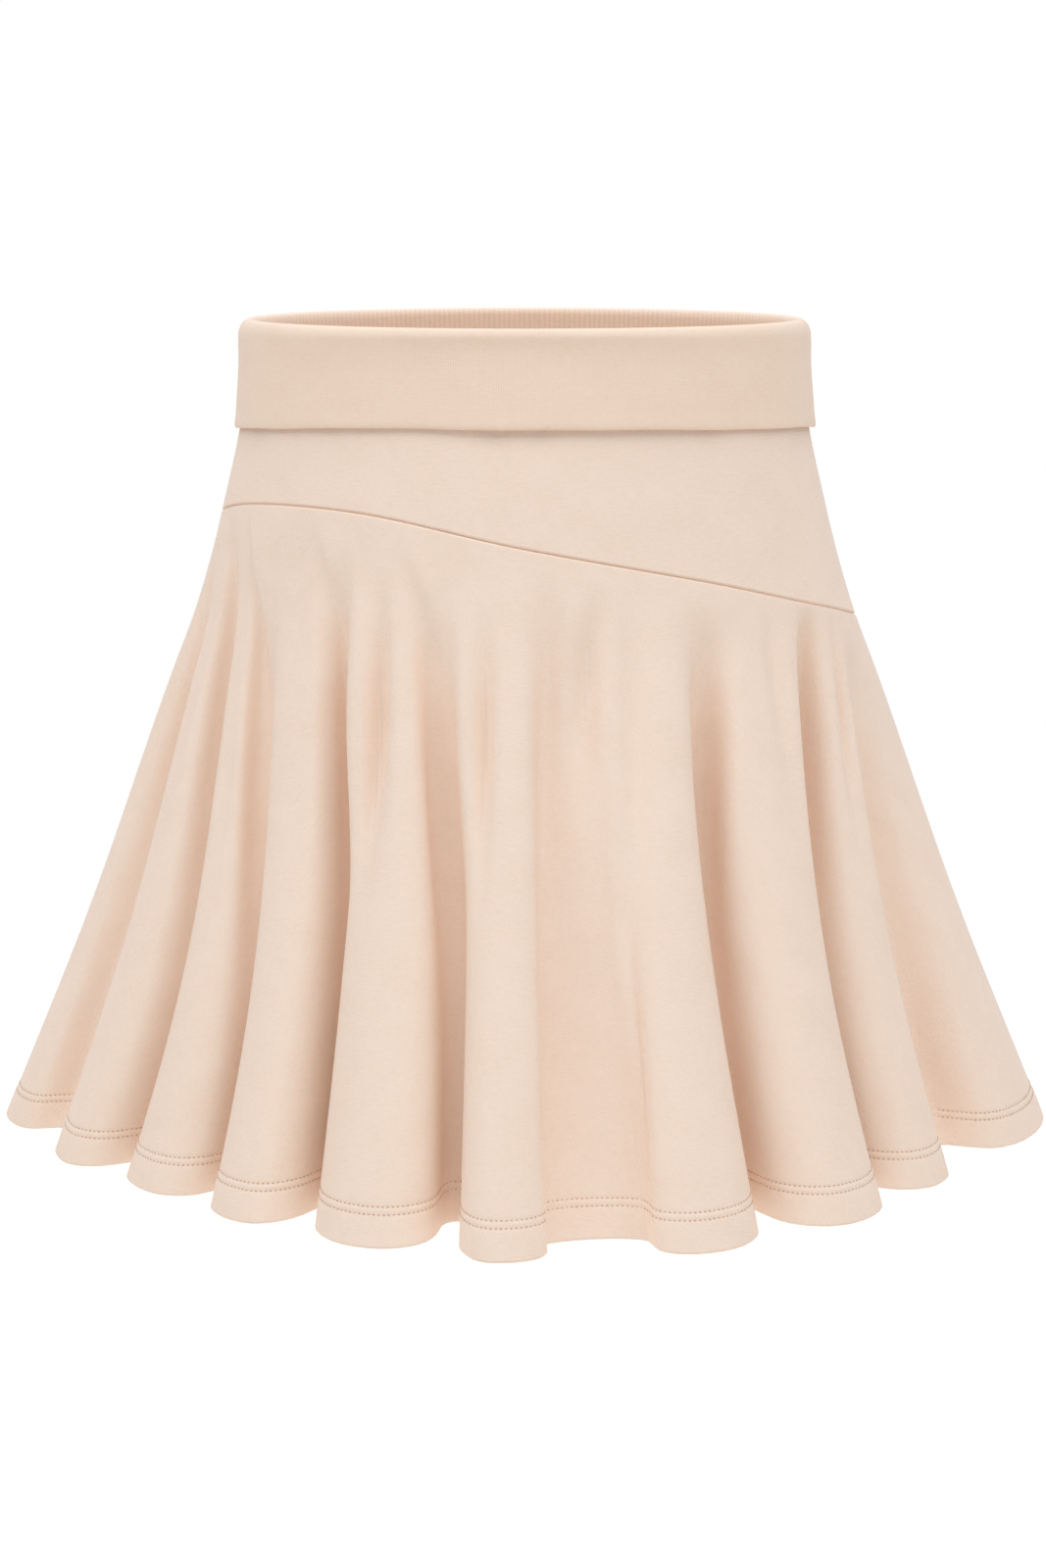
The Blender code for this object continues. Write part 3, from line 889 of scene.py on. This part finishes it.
def yoke_point(angle, fall):
    base = yoke_base(angle, fall)
    height = RIM_Z - WAIST_SEAM_DROP - hip_seam_z(angle)
    up = (1 - fall) * height
    move = -SEAM_SINK * np.exp(-((up / SEAM_WIDTH) ** 2))
    for row in YOKE_RIPPLES:
        fade = np.clip(1 - fall / row.reach, 0, 1)
        move = move - row.depth * fade * np.exp(-(((angle - row.angle) / row.width) ** 2))
    return base + outward(yoke_base, angle, fall, WIDE_STEP) * move[..., None]


print("ripples on the yoke:", len(YOKE_RIPPLES))

# %% Yoke panels
YOKE_COLUMNS = 240
YOKE_ROWS = 40
YOKE_PLAIN = 0.9
YOKE_EDGE_ROWS = TOP_ROWS[:-1]
PANEL_ANGLES = (("front", -90, 90), ("back", 90, 270))


def yoke_panel(name, first, last):
    angles = np.linspace(first, last, YOKE_COLUMNS + 1)
    heights = RIM_Z - WAIST_SEAM_DROP - hip_seam_z(angles)
    rows = [heights * 0 + share for share in np.linspace(0, YOKE_PLAIN, YOKE_ROWS)]
    rows += [1 - np.asarray(d) / heights for d in YOKE_EDGE_ROWS]
    falls = np.sort(np.stack(rows), axis=0)
    angles = np.broadcast_to(angles, falls.shape)
    outside = yoke_point(angles, falls)
    inside = outside - outward(yoke_base, angles, falls, WIDE_STEP) * JERSEY
    outside = part_at_side_seams(outside)
    inside = part_at_side_seams(inside)
    arc = arc_lengths(outside)
    flat = np.stack((arc - arc[:, -1:] / 2, outside[..., 2]), axis=-1)
    piece = cloth_piece(name, outside, inside, flat, [jersey])
    size = np.ptp(flat.reshape(-1, 2), axis=0)
    area = float(np.ptp(arc, axis=1).mean() * heights.mean())
    return piece, tuple(size), area


yoke_pieces = {}
for side, first, last in PANEL_ANGLES:
    yoke_pieces[side] = yoke_panel(f"yoke_{side}_cloth", first, last)

# %% [markdown]
# The foldover waistband
#
# One doubled strip of jersey rises inside, rolls over at the rim and hangs
# down outside as a loose flap with a folded lower edge. Its cross-section is
# drawn once and swept round the waist, a little differently at each angle so
# that the rim and the flap's edge are not ruler straight.

# %% Sizes of the waistband
BAND_DOUBLE = 0.0019
FLAP_DROP_SIDE = 0.0507
FLAP_DROP_FRONT = 0.0431
ROLL_RADIUS = 0.0032
SIDE_ROLL = 0.0046
SIDE_RISE = 0.0068
EDGE_HEIGHT = 0.0030
FlapRow = namedtuple("FlapRow", "share middle side")
FLAP_SHAPE = (
    FlapRow(0.00, 0.0026, 0.0054),
    FlapRow(0.12, 0.0014, 0.0049),
    FlapRow(0.30, 0.0006, 0.0038),
    FlapRow(0.50, 0.0005, 0.0028),
    FlapRow(0.70, 0.0006, 0.0021),
    FlapRow(0.88, 0.0007, 0.0017),
    FlapRow(1.00, 0.0008, 0.0016),
)
Wave = namedtuple("Wave", "turns phase size")
EDGE_WAVES = (Wave(3, 0.6, 0.00035), Wave(7, 2.1, 0.00022), Wave(16, 4.0, 0.00010))
FLAP_WAVES = (Wave(2, 1.1, 0.00040), Wave(5, 0.3, 0.00025), Wave(11, 2.6, 0.00012))
print("flap: %.0f to %.0f mm" % (1000 * FLAP_DROP_FRONT, 1000 * FLAP_DROP_SIDE))


# %% Unevenness of the flap
def wave_sum(angle, waves):
    turn = np.radians(angle)
    return sum(row.size * np.sin(row.turns * turn + row.phase) for row in waves)


def flap_drop(angle):
    lift = np.clip(np.cos(np.radians(angle)), 0, 1)
    return FLAP_DROP_SIDE + (FLAP_DROP_FRONT - FLAP_DROP_SIDE) * lift


print("flap in the middle of the front: %.1f mm" % (1000 * float(flap_drop(0.0))))

# %% Cross-section of the waistband
LEG_ROWS = 16
ROLL_ROWS = 13
FLAP_ROWS = 26
EDGE_TURNS = (80, 60, 40, 20)


def arc_points(centre_out, centre_drop, reach, rise, turns):
    """Points on a small oval arc, as (distance out, drop) pairs."""
    return [
        (centre_out + reach * math.cos(t), centre_drop - rise * math.sin(t)) for t in turns
    ]


def band_profile(edge_drop, side):
    """The outside and inside of the band's cross-section, flap edge first.

    side is 0 in the middle of the front and the back, and 1 at the sides, where
    the cloth turns round the hip and its roll is fuller. The fuller roll is moved
    in by its own extra width, so that it stands out hardly any further.
    """
    wall = BAND_DOUBLE
    roll = ROLL_RADIUS + (SIDE_ROLL - ROLL_RADIUS) * side
    rise = ROLL_RADIUS + (SIDE_RISE - ROLL_RADIUS) * side
    bend = roll - wall
    tip = edge_drop - EDGE_HEIGHT
    shares = [row.share for row in FLAP_SHAPE]
    gaps = [row.middle + (row.side - row.middle) * side for row in FLAP_SHAPE]
    legs = np.linspace(1, 0, FLAP_ROWS)
    clear = smooth_curve(legs, shares, gaps)
    drops = rise + (tip - rise) * legs
    edge = clear[0] + wall / 2
    around = np.radians(EDGE_TURNS)
    over = np.linspace(0, math.pi, ROLL_ROWS)[1:]
    down = rise + (WAIST_SEAM_DROP - rise) * np.linspace(0, 1, LEG_ROWS)[1:]
    outer = arc_points(edge, tip, wall / 2, EDGE_HEIGHT, -around)
    outer += list(zip(clear + wall, drops))
    outer += arc_points(bend, rise, roll, rise, over)
    outer += [(-wall, drop) for drop in down]
    inner = arc_points(edge, tip, wall / 2, EDGE_HEIGHT, math.pi + around)
    inner += list(zip(clear, drops))
    inner += arc_points(bend, rise, bend, rise - wall, over)
    inner += [(0.0, drop) for drop in down]
    profiles = np.array(outer), np.array(inner)
    for profile in profiles:
        settled = np.clip(profile[:, 1] / WAIST_SEAM_DROP, 0, 1)
        profile[:, 0] -= 2 * (roll - ROLL_RADIUS) * (1 - settled ** 2) ** 2
    return profiles


print("points across the waistband:", len(band_profile(FLAP_DROP_SIDE, 1.0)[0]))

# %% Waistband panels
WAVE_ONSET = 0.2
RIBBED_ROWS = LEG_ROWS + 3
BAND_COLUMNS = 260


def band_grid(angles, which):
    columns = []
    for angle in angles:
        drop = float(flap_drop(angle) + wave_sum(angle, EDGE_WAVES))
        side = math.sin(math.radians(angle)) ** 2
        profile = band_profile(drop, side)[which].copy()
        hanging = np.clip(profile[:, 0] / BAND_DOUBLE, 0, 1)
        share = np.clip(profile[:, 1] / drop, 0, 1) * (hanging > 0)
        profile[:, 0] += share * hanging ** WAVE_ONSET * wave_sum(angle, FLAP_WAVES)
        ring = figure_ring(angle, RIM_Z - profile[:, 1])
        beside = np.array((angle - TURN_STEP, angle + TURN_STEP))
        behind, ahead = figure_ring(beside, 0.0)
        away = np.array((ahead[1] - behind[1], behind[0] - ahead[0], 0.0))
        columns.append(ring + away / np.linalg.norm(away) * profile[:, :1])
    return part_at_side_seams(np.stack(columns, axis=1))


def band_panel(name, first, last):
    angles = np.linspace(first, last, BAND_COLUMNS + 1)
    outside = band_grid(angles, 0)[::-1]
    inside = band_grid(angles, 1)[::-1]
    arc = arc_lengths(outside)
    steps = np.linalg.norm(np.diff(outside[:, 0], axis=0), axis=1)
    down = np.concatenate(([0.0], np.cumsum(steps)))
    across = arc - arc[:, -1:] / 2
    flat = np.stack((across, np.broadcast_to(-down[:, None], arc.shape)), axis=-1)
    piece = cloth_piece(name, outside, inside, flat, [band_jersey, band_inside], RIBBED_ROWS)
    return piece, (float(np.ptp(arc, axis=1).mean()), float(down[-1])), None


band_pieces = {}
for side, first, last in PANEL_ANGLES:
    band_pieces[side] = band_panel(f"waistband_{side}_cloth", first, last)

# %% [markdown]
# Hem stitches
#
# A twin needle leaves two rows of short stitches. One Geometry Nodes tree sets
# a small rounded stitch at every step along a path. It turns each one along
# the path and lays it on the cloth by an attribute that holds the cloth's
# outward direction.

# %% Thread
STITCH_PITCH = 0.0022
STITCH_LENGTH = 0.0013
THREAD = 0.00050
THREAD_COLOUR = (0.60, 0.37, 0.22, 1.0)
THREAD_ROUGHNESS = 0.6

thread = bpy.data.materials.new("thread")
thread.use_nodes = True
thread_shader = thread.node_tree.nodes["Principled BSDF"]
thread_shader.inputs["Base Color"].default_value = THREAD_COLOUR
thread_shader.inputs["Roughness"].default_value = THREAD_ROUGHNESS
print("a stitch every %.1f mm" % (1000 * STITCH_PITCH))

# %% Tree that sets stitches along a path
BALL_SEGMENTS = 6
BALL_RINGS = 5
STITCH_SIZES = {"Pitch": STITCH_PITCH, "Length": STITCH_LENGTH, "Thread": THREAD}


def stitch_tree():
    """The tree, and the identifier of each of its named sizes."""
    tree = bpy.data.node_groups.new("stitches", "GeometryNodeTree")
    face = tree.interface
    face.new_socket("Geometry", in_out="INPUT", socket_type="NodeSocketGeometry")
    sizes = {}
    for label, value in STITCH_SIZES.items():
        socket = face.new_socket(label, in_out="INPUT", socket_type="NodeSocketFloat")
        socket.default_value = value
        sizes[label] = socket.identifier
    face.new_socket("Geometry", in_out="OUTPUT", socket_type="NodeSocketGeometry")
    nodes = tree.nodes
    start = nodes.new("NodeGroupInput")
    end = nodes.new("NodeGroupOutput")
    curve = nodes.new("GeometryNodeMeshToCurve")
    steps = nodes.new("GeometryNodeResampleCurve")
    steps.mode = "LENGTH"
    ball = nodes.new("GeometryNodeMeshUVSphere")
    ball.inputs["Segments"].default_value = BALL_SEGMENTS
    ball.inputs["Rings"].default_value = BALL_RINGS
    ball.inputs["Radius"].default_value = 0.5
    tangent = nodes.new("GeometryNodeInputTangent")
    lay = nodes.new("GeometryNodeInputNamedAttribute")
    lay.data_type = "FLOAT_VECTOR"
    lay.inputs["Name"].default_value = "outward"
    along = nodes.new("FunctionNodeAlignRotationToVector")
    along.axis = "X"
    flat = nodes.new("FunctionNodeAlignRotationToVector")
    flat.axis = "Z"
    flat.pivot_axis = "X"
    size = nodes.new("ShaderNodeCombineXYZ")
    setting = nodes.new("GeometryNodeInstanceOnPoints")
    real = nodes.new("GeometryNodeRealizeInstances")
    smooth = nodes.new("GeometryNodeSetShadeSmooth")
    paint = nodes.new("GeometryNodeSetMaterial")
    paint.inputs["Material"].default_value = thread
    link_chain(
        tree,
        (start.outputs["Geometry"], curve.inputs["Mesh"]),
        (curve.outputs["Curve"], steps.inputs["Curve"]),
        (start.outputs["Pitch"], steps.inputs["Length"]),
        (steps.outputs["Curve"], setting.inputs["Points"]),
        (ball.outputs["Mesh"], setting.inputs["Instance"]),
        (tangent.outputs["Tangent"], along.inputs["Vector"]),
        (along.outputs["Rotation"], flat.inputs["Rotation"]),
        (lay.outputs["Attribute"], flat.inputs["Vector"]),
        (flat.outputs["Rotation"], setting.inputs["Rotation"]),
        (start.outputs["Length"], size.inputs["X"]),
        (start.outputs["Thread"], size.inputs["Y"]),
        (start.outputs["Thread"], size.inputs["Z"]),
        (size.outputs["Vector"], setting.inputs["Scale"]),
        (setting.outputs["Instances"], real.inputs["Geometry"]),
        (real.outputs["Geometry"], smooth.inputs["Geometry"]),
        (smooth.outputs["Geometry"], paint.inputs["Geometry"]),
        (paint.outputs["Geometry"], end.inputs["Geometry"]),
    )
    return tree, sizes


tree, sizes = stitch_tree()
print("nodes in the stitch tree:", len(tree.nodes))


# %% From loops to stitches
def stitched(name, loops, tree, sizes, values):
    """Runs the tree along closed loops of (points, outward directions)."""
    points = np.concatenate([loop[0] for loop in loops])
    lay = np.concatenate([loop[1] for loop in loops])
    edges = []
    start = 0
    for loop in loops:
        count = len(loop[0])
        edges += [(start + k, start + (k + 1) % count) for k in range(count)]
        start += count
    mesh = bpy.data.meshes.new(name + "_path")
    mesh.from_pydata(points.tolist(), edges, [])
    attribute = mesh.attributes.new("outward", "FLOAT_VECTOR", "POINT")
    attribute.data.foreach_set("vector", lay.ravel())
    path = bpy.data.objects.new(name + "_path", mesh)
    bpy.context.collection.objects.link(path)
    modifier = path.modifiers.new("stitches", "NODES")
    modifier.node_group = tree
    for label, value in values.items():
        modifier[sizes[label]] = value
    depsgraph = bpy.context.evaluated_depsgraph_get()
    made = bpy.data.meshes.new_from_object(path.evaluated_get(depsgraph))
    piece = bpy.data.objects.new(name, made)
    bpy.context.collection.objects.link(piece)
    bpy.data.objects.remove(path, do_unlink=True)
    print(name, "faces:", len(made.polygons))
    return piece


print("rows to sew:", len(STITCH_ROWS))

# %% Sew the hem
THREAD_LIFT = 0.00005
POINTS_PER_FOLD = 60
places = np.arange(len(FOLDS) * POINTS_PER_FOLD) / POINTS_PER_FOLD
loops = []
for row in STITCH_ROWS:
    falls = 1 - row / fall_length(places)
    lay = outward(flare_point, places, falls, THREAD_STEP)
    loops.append((flare_point(places, falls) + lay * THREAD_LIFT, lay))
hem_stitches = stitched("hem_stitches", loops, tree, sizes, STITCH_SIZES)
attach(hem_stitches, "root")

# %% [markdown]
# Placing the pieces
#
# Each cloth piece stands for one solid. It takes that solid's place in the frame,
# and the solid is hidden.

# %% Dress the frame
for side in ("front", "back"):
    piece, flat, area = band_pieces[side]
    dress(piece, f"waistband_{side}")
    piece, flat, area = yoke_pieces[side]
    dress(piece, f"yoke_{side}")
    piece, flat, area = flare_pieces[side]
    dress(piece, f"flare_{side}")

# %% [markdown]
# Floor and light
#
# The photograph is a plain product picture: white all round, with soft even
# light and one broad lamp high in front. A second lamp lights the floor behind.

# %% Floor
FLOOR_DROP = 0.45
FLOOR_SIZE = 4.2
FLOOR_COLOUR = (0.96, 0.90, 0.83, 1.0)
FLOOR_ROUGHNESS = 0.9
FLOOR_GLOW = 0.18
WHITE = (1.0, 1.0, 1.0, 1.0)

bpy.ops.mesh.primitive_plane_add(size=FLOOR_SIZE, location=(0, 0, HEM_Z - FLOOR_DROP))
floor = bpy.context.object
floor.name = "floor"
floor_material = bpy.data.materials.new("floor")
floor_material.use_nodes = True
floor_shader = floor_material.node_tree.nodes["Principled BSDF"]
floor_shader.inputs["Base Color"].default_value = FLOOR_COLOUR
floor_shader.inputs["Roughness"].default_value = FLOOR_ROUGHNESS
floor_shader.inputs["Emission Color"].default_value = WHITE
floor_shader.inputs["Emission Strength"].default_value = FLOOR_GLOW
floor.data.materials.append(floor_material)
print("floor: %.2f m under the hem" % FLOOR_DROP)

# %% Sky
DAYLIGHT = (0.885, 0.953, 1.035)
SKY_LIGHT = 0.48

world = bpy.data.worlds.new("world")
world.use_nodes = True
sky_nodes = world.node_tree.nodes
sky_light = sky_nodes["Background"]
sky_light.inputs["Color"].default_value = (*DAYLIGHT, 1.0)
sky_light.inputs["Strength"].default_value = SKY_LIGHT
sky_white = sky_nodes.new("ShaderNodeBackground")
sky_white.inputs["Color"].default_value = WHITE
ray = sky_nodes.new("ShaderNodeLightPath")
either = sky_nodes.new("ShaderNodeMixShader")
link_chain(
    world.node_tree,
    (ray.outputs["Is Camera Ray"], either.inputs["Fac"]),
    (sky_light.outputs["Background"], either.inputs[1]),
    (sky_white.outputs["Background"], either.inputs[2]),
    (either.outputs["Shader"], sky_nodes["World Output"].inputs["Surface"]),
)
bpy.context.scene.world = world
print("sky light:", SKY_LIGHT)

# %% Lamps
Lamp = namedtuple("Lamp", "name place aim width depth power")
LAMPS = (
    Lamp("front_lamp", (-0.08, -1.2, 2.6), (0, 0, -0.15), 8.0, 1.6, 122),
    Lamp("floor_lamp", (0, 3.0, 2.6), (0, 2.0, -0.8), 4.0, 4.0, 60),
)


def soft_lamp(row):
    data = bpy.data.lights.new(row.name, "AREA")
    data.shape = "RECTANGLE"
    data.size = row.width
    data.size_y = row.depth
    data.energy = row.power
    data.color = DAYLIGHT
    lamp = bpy.data.objects.new(row.name, data)
    lamp.location = row.place
    towards = Vector(row.aim) - Vector(row.place)
    lamp.rotation_euler = towards.to_track_quat("-Z", "Y").to_euler()
    bpy.context.collection.objects.link(lamp)


for row in LAMPS:
    soft_lamp(row)
bpy.context.scene.view_settings.view_transform = "Standard"
